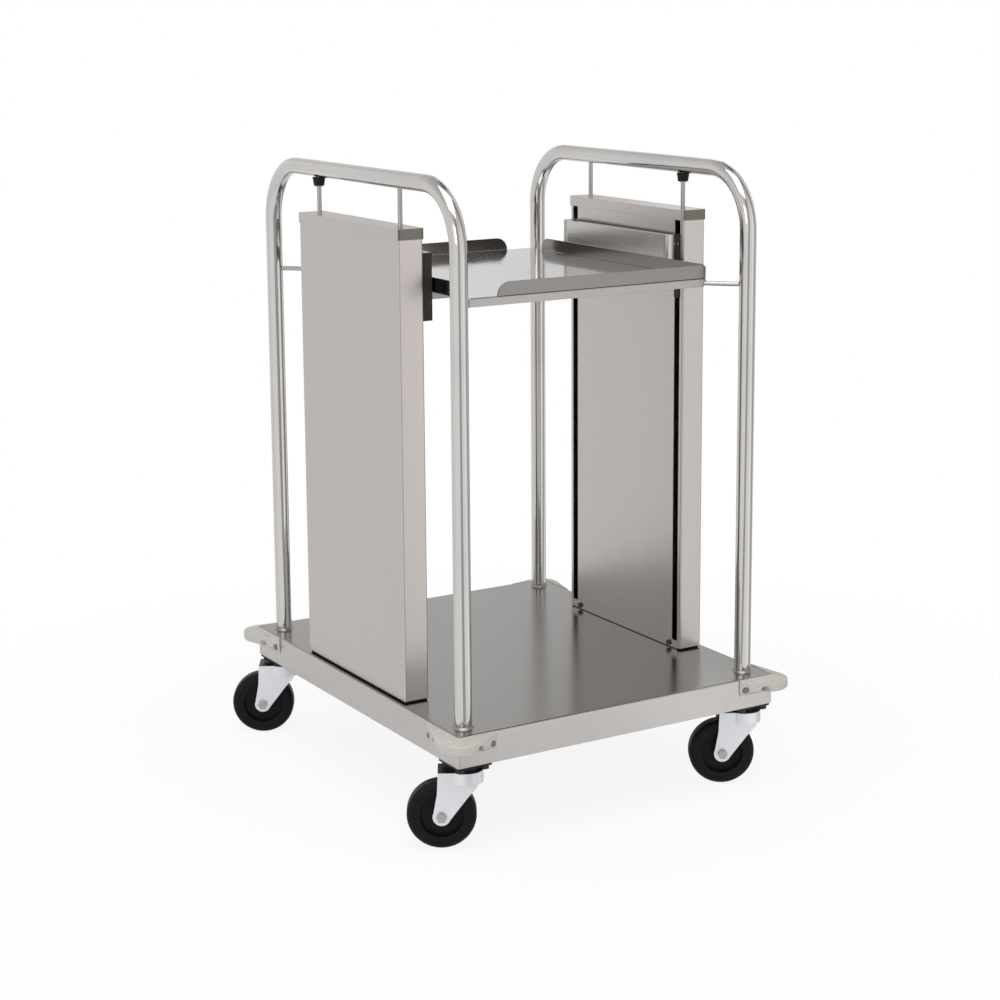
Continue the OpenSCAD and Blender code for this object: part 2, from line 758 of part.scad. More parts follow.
// Plate inside a column that ties the two guides and carries the springs on a fold
module inner_carriage() {
    color([0.55, 0.55, 0.55]) difference() {
        union() {
            box([head_x1, inner_x], [-inner_y, inner_y], [inner_z0, inner_z1]);
            box([head_x1, inner_x + 2 * spring_r + 2], [-spring_y_max, spring_y_max],
                [inner_z0, inner_z0 + inner_t]);
        }
        for (s = [-1, 1], z = [inner_z0 + 12, inner_z1 - 12])
            translate([head_x1 - 1, s * guide_screw_y, z])
                rotate([0, 90, 0]) cylinder(r = guide_screw_r + bolt_clear, h = inner_t + 2);
    }
}

// Eight screws that hold the guides to the inner plates
module guide_screws() {
    color([0.4, 0.4, 0.4]) for (k = [0, 1], s = [-1, 1], z = [inner_z0 + 12, inner_z1 - 12])
        side(k) translate([inner_x, s * guide_screw_y, z]) rotate([0, 90, 0]) {
            translate([0, 0, -inner_t - 15]) cylinder(r = guide_screw_r, h = inner_t + 15);
            cylinder(r = guide_head_r, h = 2.5);
        }
}

// Casters

// The four bolts of one caster plate
module bolt_places() {
    for (x = [-1, 1], y = [-1, 1]) translate([x * bolt_pitch / 2, y * bolt_pitch / 2, 0]) children();
}

// Fixed part of a caster: plate, race with dust lip, kingpin
module caster_plate(sx, sy) {
    z0 = crown_z + turn_gap;
    color([0.12, 0.12, 0.12]) caster(sx, sy) {
        difference() {
            translate([0, 0, plate_z]) linear_extrude(plate_h) round_rect(plate_w, plate_w, 4);
            bolt_places() translate([0, 0, plate_z - 1])
                cylinder(r = bolt_r + bolt_clear, h = plate_h + 2);
        }
        translate([0, 0, z0]) cylinder(r = race_r, h = plate_z - z0);
        translate([0, 0, z0]) cylinder(r = race_lip_r, h = 1.4);
        translate([0, 0, crown_z - fork_t - turn_gap - kingpin_head])
            cylinder(r = kingpin_r, h = plate_z - crown_z + fork_t + turn_gap + kingpin_head);
        translate([0, 0, crown_z - fork_t - turn_gap - kingpin_head])
            cylinder(r = kingpin_r + 4, h = kingpin_head);
    }
}

// Sixteen caster bolts with their nuts
module caster_bolts() {
    top = caster_h + channel_t;
    color([0.55, 0.55, 0.56]) for (c = CORNERS) caster(c[1], c[2]) bolt_places() {
        translate([0, 0, bolt_end]) cylinder(r = bolt_r, h = top - bolt_end);
        translate([0, 0, top]) linear_extrude(nut_h) hexagon(nut_af);
        translate([0, 0, plate_z - nut_h]) linear_extrude(nut_h) hexagon(nut_af);
    }
}

// Side outline of a fork leg, with x ahead of the kingpin and y up
module fork_outline() {
    side_y = leg_in + fork_t / 2;
    reach = sqrt(crown_r * crown_r - side_y * side_y);
    low_r = 0.97 * boss_r;
    low = crown_z - crown_h;
    translate([-trail, wheel_r]) circle(boss_r);
    polygon([
        [-trail - 5, crown_z],
        [-trail - 6.5, wheel_r + 34],
        [-trail - low_r * cos(15), wheel_r + low_r * sin(15)],
        [-trail, wheel_r],
        [-trail + low_r * cos(35), wheel_r - low_r * sin(35)],
        [reach - 14, low - 19],
        [reach, low - 3],
        [reach, crown_z]
    ]);
}

// Fork: crown cup with skirt, top bridge and two legs with bosses
module fork(sx, sy) {
    color([0.84, 0.85, 0.87]) caster(sx, sy, -caster_turn) difference() {
        union() {
            translate([0, 0, crown_z - crown_h]) cylinder(r = crown_r, h = crown_h);
            box([-trail - 5, 0], [-leg_out, leg_out], [crown_z - fork_t, crown_z]);
            for (s = [-1, 1]) translate([0, s * (leg_in + fork_t / 2) + fork_t / 2, 0])
                rotate([90, 0, 0]) linear_extrude(fork_t) fork_outline();
        }
        difference() {
            translate([0, 0, crown_z - crown_h - 1])
                cylinder(r = crown_r - fork_t, h = crown_h - fork_t + 1);
            box([-crown_r, crown_r], [leg_in, crown_r], [0, crown_z]);
            box([-crown_r, crown_r], [-crown_r, -leg_in], [0, crown_z]);
        }
        box([-crown_r - 1, 4], [-leg_in, leg_in], [0, crown_z - fork_t]);
        translate([0, 0, crown_z - fork_t - 1]) cylinder(r = kingpin_r + run_clear, h = fork_t + 2);
        translate([-trail, 0, wheel_r]) rotate([90, 0, 0])
            cylinder(r = axle_r + bolt_clear / 2, h = 2 * leg_out + 2, center = true);
    }
}

// Axle bolt across the fork, with its nut
module axle(sx, sy) {
    color([0.6, 0.6, 0.61]) caster(sx, sy, -caster_turn) translate([-trail, 0, wheel_r])
        rotate([90, 0, 0]) {
            translate([0, 0, -leg_out - 8]) cylinder(r = axle_r, h = 2 * leg_out + 8);
            translate([0, 0, leg_out]) linear_extrude(5.3) hexagon(nut_af);
            translate([0, 0, -leg_out - 6.5]) linear_extrude(6.5) hexagon(nut_af);
        }
}

// Wheel: hub, thin web, rim and a tread with round shoulders
module wheel(sx, sy) {
    half = wheel_w / 2;
    rim_r = wheel_r - rim_h;
    shoulder = wheel_r - shoulder_r;
    color([0.05, 0.05, 0.06]) caster(sx, sy, -caster_turn) translate([-trail, 0, wheel_r])
        rotate([90, 0, 0]) rotate_extrude() difference() {
            union() {
                translate([0, -hub_w]) square([hub_r, 2 * hub_w]);
                translate([0, -half / 2]) square([rim_r + half / 4, half]);
                translate([rim_r, -half]) square([shoulder - rim_r, wheel_w]);
                translate([rim_r, shoulder_r - half])
                    square([wheel_r - rim_r, wheel_w - 2 * shoulder_r]);
                for (s = [-1, 1]) translate([shoulder, s * (half - shoulder_r)]) circle(shoulder_r);
            }
            translate([-wheel_r, -wheel_w])
                square([wheel_r + axle_r + run_clear, 2 * wheel_w]);
        }
}

base_pan();
side(1) side_channel();  // side_channel_left
side(0) side_channel();  // side_channel_right
cross_members();
bumper(-1, -1);  // bumper_fl
bumper(1, -1);  // bumper_fr
bumper(-1, 1);  // bumper_bl
bumper(1, 1);  // bumper_br
bumper_screws();
side(1) frame();  // frame_left
side(0) frame();  // frame_right
side(1) column_shell();  // column_shell_left
side(0) column_shell();  // column_shell_right
side(1) inner_panel();  // inner_panel_left
side(0) inner_panel();  // inner_panel_right
side(1) column_cap();  // column_cap_left
side(0) column_cap();  // column_cap_right
side(1) column_foot();  // column_foot_left
side(0) column_foot();  // column_foot_right
panel_bolts();
stay_rods();
rod_collars();
spring_hangers();
lift_springs();
tray_shelf();
shelf_stiffeners();
corner_rods();
side(0) tray_guide();  // tray_guide_front_right
side(1) tray_guide();  // tray_guide_back_left
side(1) carriage_plate();  // carriage_plate_left
side(0) carriage_plate();  // carriage_plate_right
side(1) slide_guides();  // slide_guides_left
side(0) slide_guides();  // slide_guides_right
side(1) inner_carriage();  // inner_carriage_left
side(0) inner_carriage();  // inner_carriage_right
guide_screws();
caster_plate(-1, -1);  // caster_plate_fl
caster_plate(1, -1);  // caster_plate_fr
caster_plate(-1, 1);  // caster_plate_bl
caster_plate(1, 1);  // caster_plate_br
caster_bolts();
fork(-1, -1);  // fork_fl
fork(1, -1);  // fork_fr
fork(-1, 1);  // fork_bl
fork(1, 1);  // fork_br
axle(-1, -1);  // axle_fl
axle(1, -1);  // axle_fr
axle(-1, 1);  // axle_bl
axle(1, 1);  // axle_br
wheel(-1, -1);  // wheel_fl
wheel(1, -1);  // wheel_fr
wheel(-1, 1);  // wheel_bl
wheel(1, 1);  // wheel_br
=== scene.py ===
"""Looks of the open tray dispenser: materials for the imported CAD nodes, moulded bumpers,
a soft studio and the photograph's camera. Lengths in metres, in the CAD's own frame."""

import math

import bpy
import numpy as np
from mathutils import Matrix, Vector


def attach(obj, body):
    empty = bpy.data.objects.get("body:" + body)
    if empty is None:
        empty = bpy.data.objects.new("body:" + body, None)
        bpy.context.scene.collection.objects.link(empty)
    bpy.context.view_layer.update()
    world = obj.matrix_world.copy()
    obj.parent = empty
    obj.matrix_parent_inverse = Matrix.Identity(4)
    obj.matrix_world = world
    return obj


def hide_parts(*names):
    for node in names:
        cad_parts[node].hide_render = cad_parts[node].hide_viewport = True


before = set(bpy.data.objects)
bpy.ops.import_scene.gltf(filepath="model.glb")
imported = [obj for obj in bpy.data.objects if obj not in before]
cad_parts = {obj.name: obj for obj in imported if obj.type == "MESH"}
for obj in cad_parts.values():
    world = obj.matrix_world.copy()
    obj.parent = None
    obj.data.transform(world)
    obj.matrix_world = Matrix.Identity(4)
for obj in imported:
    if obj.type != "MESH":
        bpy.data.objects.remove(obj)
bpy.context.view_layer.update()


# Camera: fitted to the photograph's measured lines. It stands to the object's left, looks a
# little down at it, and its film is shifted so that the uprights stay nearly upright.


SENSOR_MM, IMAGE_PX = 36, 1000


def place_camera(target, azimuth, pitch, roll, distance, focal_px, shift_y):
    """Look direction d = (-sin a cos e, cos a cos e, -sin e), camera at target - d * distance.

    right = d x Z turned by the roll about d. The lens is focal_px * sensor / image width."""
    a, e, t = math.radians(azimuth), math.radians(pitch), math.radians(roll)
    d = Vector((-math.sin(a) * math.cos(e), math.cos(a) * math.cos(e), -math.sin(e)))
    right = d.cross(Vector((0, 0, 1))).normalized()
    up = right.cross(d)
    right, up = right * math.cos(t) + up * math.sin(t), up * math.cos(t) - right * math.sin(t)
    data = bpy.data.cameras.new("photo_camera")
    data.sensor_width = SENSOR_MM
    data.lens = focal_px * SENSOR_MM / IMAGE_PX
    data.shift_y = shift_y
    data.clip_end = 60
    camera = bpy.data.objects.new("photo_camera", data)
    bpy.context.scene.collection.objects.link(camera)
    turn = Matrix((right, up, -d)).transposed().to_4x4()
    camera.matrix_world = Matrix.Translation(Vector(target) - d * distance) @ turn
    bpy.context.scene.camera = camera


place_camera(
    target=(-0.0064, 0, 0.5854), azimuth=-31.1, pitch=10.4, roll=-0.4,
    distance=3.4183, focal_px=2167.9, shift_y=-0.1,
)


# Base: a folded pan of satin stainless sheet, open below, with channels and cross members
# welded inside. The deck is polished smoother than the sides, which are brushed lengthwise,
# and its colour is painted darker than theirs, as shade.


class Socket:
    """An output socket of a node tree. Arithmetic and the named methods add one node each."""

    def __init__(self, tree, out):
        self.tree, self.out = tree, out

    def math(self, operation, *others):
        """One Math node with this socket first and the others after it."""
        n = self.tree.nodes.new("ShaderNodeMath")
        n.operation = operation
        for i, value in enumerate((self, *others)):
            if isinstance(value, Socket):
                self.tree.links.new(value.out, n.inputs[i])
            else:
                n.inputs[i].default_value = value
        return Socket(self.tree, n.outputs[0])

    def _number(self, value):
        """A number as a socket, for the reflected operators."""
        n = self.tree.nodes.new("ShaderNodeValue")
        n.outputs[0].default_value = value
        return Socket(self.tree, n.outputs[0])

    def __add__(self, o):
        return self.math("ADD", o)

    def __radd__(self, o):
        return self.math("ADD", o)

    def __sub__(self, o):
        return self.math("SUBTRACT", o)

    def __rsub__(self, o):
        return self._number(o).math("SUBTRACT", self)

    def __mul__(self, o):
        return self.math("MULTIPLY", o)

    def __rmul__(self, o):
        return self.math("MULTIPLY", o)

    def between(self, low, high):
        """0 at low, 1 at high, smooth in between."""
        n = self.tree.nodes.new("ShaderNodeMapRange")
        n.interpolation_type = "SMOOTHSTEP"
        self.tree.links.new(self.out, n.inputs["Value"])
        n.inputs["From Min"].default_value, n.inputs["From Max"].default_value = low, high
        return Socket(self.tree, n.outputs[0])


class Nodes:
    """A node tree whose nodes come from one method: type, settings, socket values."""

    def __init__(self, tree):
        self.tree = tree

    def put(self, target, value):
        """Links or sets one input socket."""
        if isinstance(value, Socket):
            self.tree.links.new(value.out, target)
        elif target.type == "RGBA":
            target.default_value = (*value, 1)[:4]
        else:
            target.default_value = value

    def node(self, kind, settings=None, output=0, **sockets):
        """Any node. A socket is named, with _ for a space, or given as i0, i1 by its number."""
        n = self.tree.nodes.new("ShaderNode" + kind)
        for name, value in (settings or {}).items():
            setattr(n, name, value)
        for name, value in sockets.items():
            by_number = name[0] == "i" and name[1:].isdigit()
            key = int(name[1:]) if by_number else name.replace("_", " ")
            self.put(n.inputs[key], value)
        return None if output is None else Socket(self.tree, n.outputs[output])

    def mix(self, factor, a, b):
        """A colour between a and b."""
        return self.node("Mix", {"data_type": "RGBA"}, output=2, i0=factor, i6=a, i7=b)


EDGE_SAMPLES = 6


class Material(Nodes):
    """A procedural material with one Principled shader."""

    def __init__(self, name, **sockets):
        self.data = bpy.data.materials.new(name)
        self.data.use_nodes = True
        super().__init__(self.data.node_tree)
        self.shader = self.tree.nodes["Principled BSDF"]
        self.set(**sockets)

    def set(self, **sockets):
        """Sets or links the shader's sockets; _ in a name stands for a space."""
        for name, value in sockets.items():
            self.put(self.shader.inputs[name.replace("_", " ")], value)

    def linked(self, name):
        """What already feeds one of the shader's sockets."""
        return Socket(self.tree, self.shader.inputs[name].links[0].from_socket)

    def place(self, scale=(1, 1, 1), turn=(0, 0, 0)):
        """Object coordinates, which are metres in the CAD's frame, turned and stretched."""
        at = self.node("TexCoord", output="Object")
        return self.node("Mapping", Vector=at, Scale=scale, Rotation=turn)

    def noise(self, where, scale, detail=3.0, rough=0.5):
        """A noise factor around 0.5."""
        return self.node("TexNoise", Vector=where, Scale=scale, Detail=detail, Roughness=rough)

    def facing(self, axis):
        """The surface normal's share along an axis, 0 for X, 1 for Y, 2 for Z."""
        normal = self.node("NewGeometry", output="Normal")
        return self.node("SeparateXYZ", output=axis, Vector=normal)

    def relief(self, height, strength, distance, edge):
        """A bump over normals that turn round the edges within a radius."""
        soft = self.node("Bevel", {"samples": EDGE_SAMPLES}, Radius=edge)
        return self.node("Bump", Height=height, Strength=strength, Distance=distance, Normal=soft)


def paint(material, *starts):
    """Gives every CAD node whose name starts with one of the words this material."""
    for name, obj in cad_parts.items():
        if name.startswith(starts):
            obj.data.materials.clear()
            obj.data.materials.append(material.data)


def shades(tint, dark=0.88, light=1.1):
    """A darker and a lighter neighbour of a colour."""
    return tuple(v * dark for v in tint), tuple(min(1.0, v * light) for v in tint)


GRAIN_ACROSS, GRAIN_ALONG, BAND, CLOUD = 900.0, 9.0, 12, 5.0
SCRATCHES, SCRATCH_TURN = (14, 500, 500), (0.5, 0.4, 0.7)


def sheet(name, tint, rough, along, grain=0.4, edge=0.0008):
    """Brushed stainless sheet, and its grain's shade as a factor, for colours that differ by side
    where shade is painted on some faces.

    The grain is noise 1.1 mm wide and 110 mm long on one axis, the bands are 12 times as large,
    and a cloud of 0.2 m stands for handling. The scratches are 2 mm wide and 70 mm long.
    shade = 0.5 + 0.5 grain (lines - 0.5) + 0.25 grain (bands - 0.5) + 0.3 (cloud - 0.5)
    roughness = rough + 0.1 (lines - 0.5) + 0.08 (cloud - 0.5) + 0.06 where a scratch lies."""
    m = Material(name, Metallic=1.0)
    scale = [GRAIN_ALONG if axis == along else GRAIN_ACROSS for axis in "XYZ"]
    lines = m.noise(m.place(scale), 1.0, 2.0, 0.6)
    bands = m.noise(m.place([v / BAND for v in scale]), 1.0, 2.0)
    cloud = m.noise(m.place(), CLOUD, 3.0, 0.55)
    scratch = m.noise(m.place(SCRATCHES, SCRATCH_TURN), 1.0, 2.0, 0.4).between(0.66, 0.74)
    shade = (lines - 0.5) * (0.5 * grain) + (bands - 0.5) * (0.25 * grain)
    shade = shade + (cloud - 0.5) * 0.3 + 0.5
    m.set(
        Base_Color=m.mix(shade, *shades(tint)),
        Roughness=(lines - 0.5) * 0.1 + (cloud - 0.5) * 0.08 + scratch * 0.06 + rough,
        Normal=m.relief(lines, 0.05 * grain, 0.0004, edge),
    )
    return m, shade


deck_shade_tint, side_tint = (0.337, 0.329, 0.316), (0.53, 0.507, 0.498)
pan, pan_shade = sheet("base_sheet", side_tint, 0.21, "X", 0.3, 0.001)
side = pan.facing(2).between(0.95, 0.6)  # 0 on the deck, 1 on the sides
# Painted shade: the deck's colour is a darker copy of the sides' colour on the same sheet.
deck_shaded_colour = pan.mix(pan_shade, *shades(deck_shade_tint))
side_colour = pan.mix(pan_shade, *shades(side_tint))
pan.set(
    Base_Color=pan.mix(side, deck_shaded_colour, side_colour),
    Roughness=(pan_shade - 0.5) * 0.3 + side * 0.10 + 0.21,
)
paint(pan, "base_pan")
hidden, _ = sheet("channel_sheet", (0.42, 0.41, 0.40), 0.40, "Y")
paint(hidden, "side_channel", "cross_members")
paint(hidden, "inner_carriage", "spring_hangers", "shelf_stiffeners")


# Columns: shells folded from satin sheet with the grain upright, a flat panel between the two
# slots, a folded cap on top, whose two ends carry painted shade, and a foot that stands inside,
# painted near-black as the shadow in the gap under the shell.


paint(sheet("column_sheet", (0.545, 0.505, 0.48), 0.30, "Z")[0], "column_shell", "inner_panel")

# Painted shade: the second colour, much darker, is for the cap's two ends.
cap_tint, cap_end_shade_tint = (0.54, 0.50, 0.475), (0.175, 0.155, 0.14)
cap, cap_shade = sheet("cap_sheet", cap_tint, 0.30, "Z")
cap.set(Base_Color=cap.mix(
    cap.facing(1).math("ABSOLUTE").between(0.5, 0.9),  # 1 on the two ends
    cap.mix(cap_shade, *shades(cap_tint)),
    cap.mix(cap_shade, *shades(cap_end_shade_tint)),
))
paint(cap, "column_cap")


DUST = (0.20, 0.19, 0.18)


def dark(name, tint, rough, grain, gloss=0.2, dust=0.0):
    """A near-black solid: cells of 1 / grain m, clouds of 45 mm, and dust on what faces up.

    The lighter end of its colour is 1.5 tint + 0.004. roughness = rough + 0.15 (cells - 0.5)."""
    m = Material(name, Specular_IOR_Level=gloss)
    fine = m.noise(m.place(), grain, 3.0, 0.6)
    cloud = m.noise(m.place(), 22.0, 3.0, 0.6)
    base = m.mix(fine * 0.6 + cloud * 0.3, tint, tuple(v * 1.5 + 0.004 for v in tint))
    m.set(
        Base_Color=m.mix(m.facing(2).between(0.2, 1.0) * cloud * dust, base, DUST),
        Roughness=(fine - 0.5) * 0.15 + rough,
        Normal=m.relief(fine, 0.12, 0.0003, 0.0012),
    )
    return m


# The foot's recess is real, and its near-black colour is painted shadow for the gap under the
# shell.
paint(dark("foot_black", (0.010, 0.010, 0.010), 0.6, 300), "column_foot")


# Frames: one polished stainless tube bent twice and welded to the deck at both feet. The
# polish has faint rings from the belt and duller patches where hands and cloths have been.


WELD_LOW, WELD_HIGH, WELD_TINT = 0.1805, 0.183, (0.36, 0.35, 0.34)


def polished(name, tint, rough):
    """Rings lie 1.4 mm apart in z, and patches are 0.1 m wide.

    roughness = rough + 0.07 (patch - 0.5) + 0.05 (ring - 0.5), and 0.3 more on the weld,
    which is what lies under z = 0.182, on the deck, ground dull and darker."""
    m = Material(name, Metallic=1.0)
    ring = m.noise(m.place((60, 60, 700)), 1.0, 2.0, 0.6)
    patch = m.noise(m.place(), 9.0, 3.0, 0.6)
    height = m.node("SeparateXYZ", output=2, Vector=m.place())
    weld = 1.0 - height.between(WELD_LOW, WELD_HIGH)
    m.set(
        Base_Color=m.mix(weld, m.mix(patch, *shades(tint, 0.9, 1.08)), WELD_TINT),
        Roughness=(patch - 0.5) * 0.07 + (ring - 0.5) * 0.05 + weld * 0.3 + rough,
        Normal=m.relief(ring, 0.012, 0.0003, 0.0005),
    )
    return m


paint(polished("frame_tube", (0.60, 0.585, 0.57), 0.10), "frame_")


# Rods: bright drawn steel. Four stand between the bars and the caps, two of them with a black
# rubber collar under the bar, and two short ones run from the shelf's corners to the legs.


paint(polished("rod_steel", (0.43, 0.415, 0.40), 0.22), "stay_rods", "corner_rods", "lift_springs")
paint(dark("collar_rubber", (0.006, 0.006, 0.008), 0.5, 500), "rod_collars")


# Shelf: mirror-polished stainless sheet folded down at its edges, not quite flat, so that
# reflections swim a little, and smeared where trays slide over it.


def mirror_sheet(name, tint, fold_shade_tint):
    """The bump is waves of 0.14 m, and smears 0.3 m long raise the roughness to 0.14.

    The folds down at the edges are duller than the top, and painted darker, as shade."""
    m = Material(name, Metallic=1.0)
    wave = m.noise(m.place((1, 1, 0.2)), 7.0, 1.0, 0.4)
    smear = m.noise(m.place((14, 3, 14)), 1.0, 4.0, 0.6)
    fold = m.facing(2).between(0.9, 0.5)
    # Painted shade: the folds' colour is darker than the top's.
    m.set(
        Base_Color=m.mix(fold, m.mix(smear, *shades(tint, 0.95, 1.05)), fold_shade_tint),
        Roughness=smear.between(0.35, 0.8) * 0.09 + fold * 0.12 + 0.05,
        Normal=m.relief(wave, 0.25, 0.0015, 0.001),
    )
    return m


paint(mirror_sheet("shelf_mirror", (0.58, 0.575, 0.58), (0.39, 0.37, 0.355)), "tray_shelf")


# Carriage: polished tray guides on the shelf, satin plates beside it whose returns pass through
# the columns' slots, and black plastic guides that slide in the slots. The guide at the right
# column's back slot has a bright steel cap: the photograph shows no black there.


paint(sheet("guide_sheet", (0.245, 0.234, 0.223), 0.16, "X", 0.2)[0], "tray_guide")
paint(sheet("carriage_sheet", (0.58, 0.565, 0.54), 0.24, "Y", 0.2)[0], "carriage_plate")

plastic = dark("guide_plastic", (0.028, 0.020, 0.020), 0.42, 300)
at_x, at_y = (plastic.node("SeparateXYZ", output=i, Vector=plastic.place()) for i in range(2))
capped = at_x.between(0.0, 0.01) * at_y.between(0.0, 0.01)  # 1 where x and y are positive
plastic.set(
    Base_Color=plastic.mix(capped, plastic.linked("Base Color"), (0.55, 0.53, 0.51)),
    Metallic=capped,
)
paint(plastic, "slide_guides")


# Fasteners: zinc-plated screws and axles, bolts and nuts in the casters' plates painted black as
# the shade there, the bumpers' screws painted dark as the shade in their wells, and four bolts
# gone brown at the lower corners of the inner panels.


def zinc(name, tint, rough, metal):
    """The base colour goes from 0.92 to 1.06 times the tint, by a mottle 4 mm across like
    crystals and a cloud of 55 mm. roughness = rough + 0.12 (mottle - 0.5)."""
    m = Material(name, Metallic=metal)
    spot = m.noise(m.place(), 240.0, 2.0)
    cloud = m.noise(m.place(), 18.0, 2.0)
    m.set(
        Base_Color=m.mix(spot * 0.5 + cloud * 0.5, *shades(tint, 0.92, 1.06)),
        Roughness=(spot - 0.5) * 0.12 + rough,
        Normal=m.relief(spot, 0.06, 0.0004, 0.0007),
    )
    return m


paint(zinc("bolt_zinc", (0.42, 0.42, 0.43), 0.34, 1.0), "axle_", "guide_screws")
# Painted shade: the casters' bolts and nuts are coloured near-black like the plates.
paint(zinc("bolt_painted_shade", (0.05, 0.048, 0.046), 0.40, 1.0), "caster_bolts")
# Painted shade: the bumpers' screws are coloured dark for the shade in their wells.
paint(zinc("screw_well_shade", (0.20, 0.195, 0.185), 0.4, 1.0), "bumper_screws")
paint(zinc("bolt_brown", (0.13, 0.065, 0.052), 0.45, 0.7), "panel_bolts")


# Casters: zinc-plated pressed forks under plates with a ball race, the plates painted near-black
# as the shade under the pan, and wheels of black rubber on a black rim. Each fork turns on its
# kingpin, and the top of its crown is painted near-black as the shade under the plate.


fork = zinc("fork_zinc", (0.77, 0.787, 0.824), 0.36, 0.6)
# Painted shade: the crown's top, under the plate, is coloured near-black.
crown_shade = fork.facing(2).between(0.8, 0.95)
fork.set(Base_Color=fork.mix(crown_shade, fork.linked("Base Color"), (0.045, 0.043, 0.04)))
paint(fork, "fork_")
# Painted shade: the plates are coloured near-black for the shade they lie in under the pan.
paint(dark("caster_black", (0.012, 0.011, 0.011), 0.42, 400), "caster_plate")
paint(dark("wheel_rubber", (0.0035, 0.0033, 0.0048), 0.42, 350, 0.13, 0.02), "wheel_")


# Bumpers: grey-beige vinyl moulded round each corner of the base, thick at the nose and thin at
# the ends of its two arms. Four pan-head screws hold each, sunk in wells in its face.


# Nose: radius, how far its centre lies inside the pan, depth of the arms' tips, gap to the pan.
NOSE_R, BITE, TIP, GAP = 0.031, 0.005, 0.003, 0.0002
# How far the face goes down, how thick the flange under it is, and how far that goes down.
NOSE, FLANGE, HEIGHT = 0.0205, 0.0026, 0.0255
# The top's slope in radians, radius of its edge, and radius of the edge under the face.
SLOPE, EDGE, LOWER = 0.21, 0.0035, 0.005
# Length of the two arms from the pan's corner, and the rounded length at their tips.
REACH_X, REACH_Y, TIP_R = 0.063, 0.083, 0.0025
# Screws: distances from the pan's corner along each arm, and height from the deck.
SCREWS_X, SCREWS_Y, SCREW_Z = (0.027, 0.055), (0.048, 0.076), -0.0167
# Wells: distance of the screws' seat from the pan, radius, and width of the slope round it.
SEAT, WELL_R, WELL_SLOPE = 0.0035, 0.0050, 0.0014
PAN_CORNER = (0.281, 0.3335, 0.1765)
# Grid: stations on a tip, on an arm and round the corner, then points on the upper edge, on
# the lower edge and down the face.
ON_TIP, ON_ARM, ON_CORNER, ON_EDGE, ON_LOWER, ON_FACE = 8, 150, 48, 10, 8, 32


def bumper_outline(reach):
    """Depth of the outer face off the pan, at distances s from the pan's corner along one arm.

    Nose: -bite + sqrt(r^2 - (s - bite)^2), up to s = bite + r sin(taper). Beyond it the line
    that touches the nose there: tip + (reach - s) tan(taper). The last 2.5 mm are rounded off,
    down to 0.35 of the depth."""
    taper = math.asin(NOSE_R / math.hypot(reach - BITE, BITE + TIP))
    taper -= math.atan2(BITE + TIP, reach - BITE)
    tip = reach - TIP_R * np.linspace(0, 1, ON_TIP) ** 2
    s = np.concatenate([tip, np.linspace(reach - 1.2 * TIP_R, 0, ON_ARM)])
    nose = -BITE + np.sqrt(np.maximum(NOSE_R**2 - (s - BITE) ** 2, 0))
    arm = TIP + (reach - s) * math.tan(taper)
    depth = np.where(s < BITE + NOSE_R * math.sin(taper), nose, arm)
    rounded = np.clip((reach - s) / TIP_R, 0, 1)
    return s, depth * (0.35 + 0.65 * np.sqrt(1 - (1 - rounded) ** 2))


def bumper_section(width):
    """Depths and heights of the section at each station, from the pan over the face and back.

    The top falls at SLOPE to an edge of radius r, whose centre is at the height
    c = -(w - r + r sin SLOPE) tan SLOPE - r cos SLOPE. An upright face goes down to -NOSE, and
    below it the flange that the screws hold, FLANGE thick, goes on to -HEIGHT. Where the arm is
    thin, the radii are at most 0.4 and the flange 0.6 of its width w."""
    w = width[:, None]
    r, low = np.minimum(EDGE, 0.4 * w), np.minimum(LOWER, 0.4 * w)
    flange = np.minimum(FLANGE, 0.6 * w)
    c = -(w - r + r * math.sin(SLOPE)) * math.tan(SLOPE) - r * math.cos(SLOPE)
    edge = np.linspace(SLOPE, math.pi / 2, ON_EDGE)
    turn = np.linspace(0, math.pi / 2, ON_LOWER)
    face = np.linspace(0, 1, ON_FACE + 2)[1:-1]
    depth = [0 * w, w - r + r * np.sin(edge), w + 0 * face, w - low + low * np.cos(turn),
             flange, flange, 0.5 * flange, 0 * w]
    height = [0 * w, c + r * np.cos(edge), c + (low - NOSE - c) * face,
              low * (1 - np.sin(turn)) - NOSE, 0 * w - NOSE, 0 * w + 0.001 - HEIGHT,
              0 * w - HEIGHT, 0 * w - HEIGHT]
    return np.concatenate(depth, axis=1), np.concatenate(height, axis=1)


def sink(depth, height, along, screws):
    """Wells: within rho of a screw's axis the depth eases down to SEAT,
    d = SEAT + (d - SEAT) smoothstep((rho - WELL_R) / WELL_SLOPE)."""
    for s in screws:
        rho = np.hypot(along[:, None] - s, height - SCREW_Z)
        t = np.clip((rho - WELL_R) / WELL_SLOPE, 0, 1)
        eased = SEAT + (depth - SEAT) * t * t * (3 - 2 * t)
        depth = np.where((rho < WELL_R + WELL_SLOPE) & (depth > SEAT), eased, depth)
    return depth


